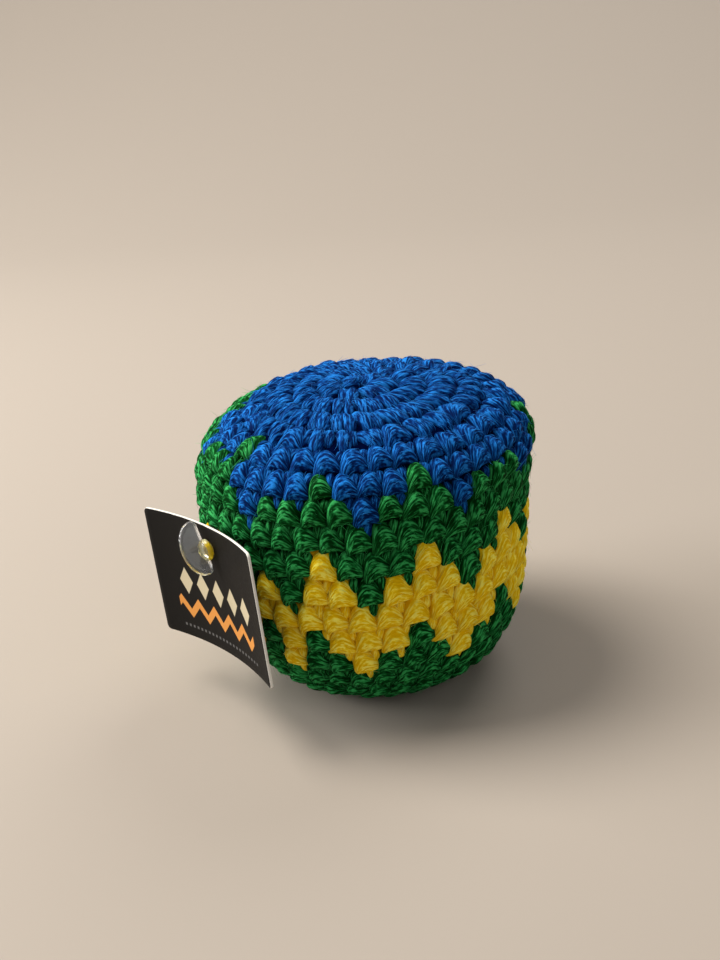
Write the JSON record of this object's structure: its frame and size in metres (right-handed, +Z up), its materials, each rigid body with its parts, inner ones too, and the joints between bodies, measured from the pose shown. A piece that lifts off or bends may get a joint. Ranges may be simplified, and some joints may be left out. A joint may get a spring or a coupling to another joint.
{
  "type": "footbag",
  "caption": "Crocheted footbag: stitched cover with zigzag colour areas round a sand-filled liner, and a curled card tag hung on a clear turning fastener.",
  "frame": {"origin": "centre of the flat base on which the footbag stands", "axes": "+Z up through the crown's centre, -Y towards the front, the tag on the front left"},
  "size_m": [0.067, 0.0597, 0.0525],
  "materials": {
    "blue_yarn": "soft plied yarn",
    "green_yarn": "soft plied yarn",
    "yellow_yarn": "soft plied yarn",
    "liner_cloth": "plain woven",
    "liner_thread": "twisted thread",
    "sand": "fine dry grains",
    "tag_card": "smooth printed card",
    "clear_plastic": "clear moulded"
  },
  "bodies": {
    "bag": {"crown_blue_crochet": "blue_yarn", "upper_green_crochet": "green_yarn", "yellow_zigzag_crochet": "yellow_yarn", "lower_green_crochet": "green_yarn", "closing_knot": "green_yarn", "liner_pouch": "liner_cloth", "liner_tie": "liner_thread", "sand_filling": "sand"},
    "tag": {"hang_tag": "tag_card"},
    "fastener": {"tag_fastener": "clear_plastic"}
  },
  "joints": [
    {"name": "tag_swing", "type": "hinge", "parent": "bag", "child": "tag", "pos_m": [-0.0257, -0.01594, 0.0309], "axis": [-0.7902, -0.6129, 0], "continuous": true},
    {"name": "fastener_turn", "type": "hinge", "parent": "bag", "child": "fastener", "pos_m": [-0.0257, -0.01594, 0.0309], "axis": [-0.7902, -0.6129, 0], "continuous": true}
  ]
}
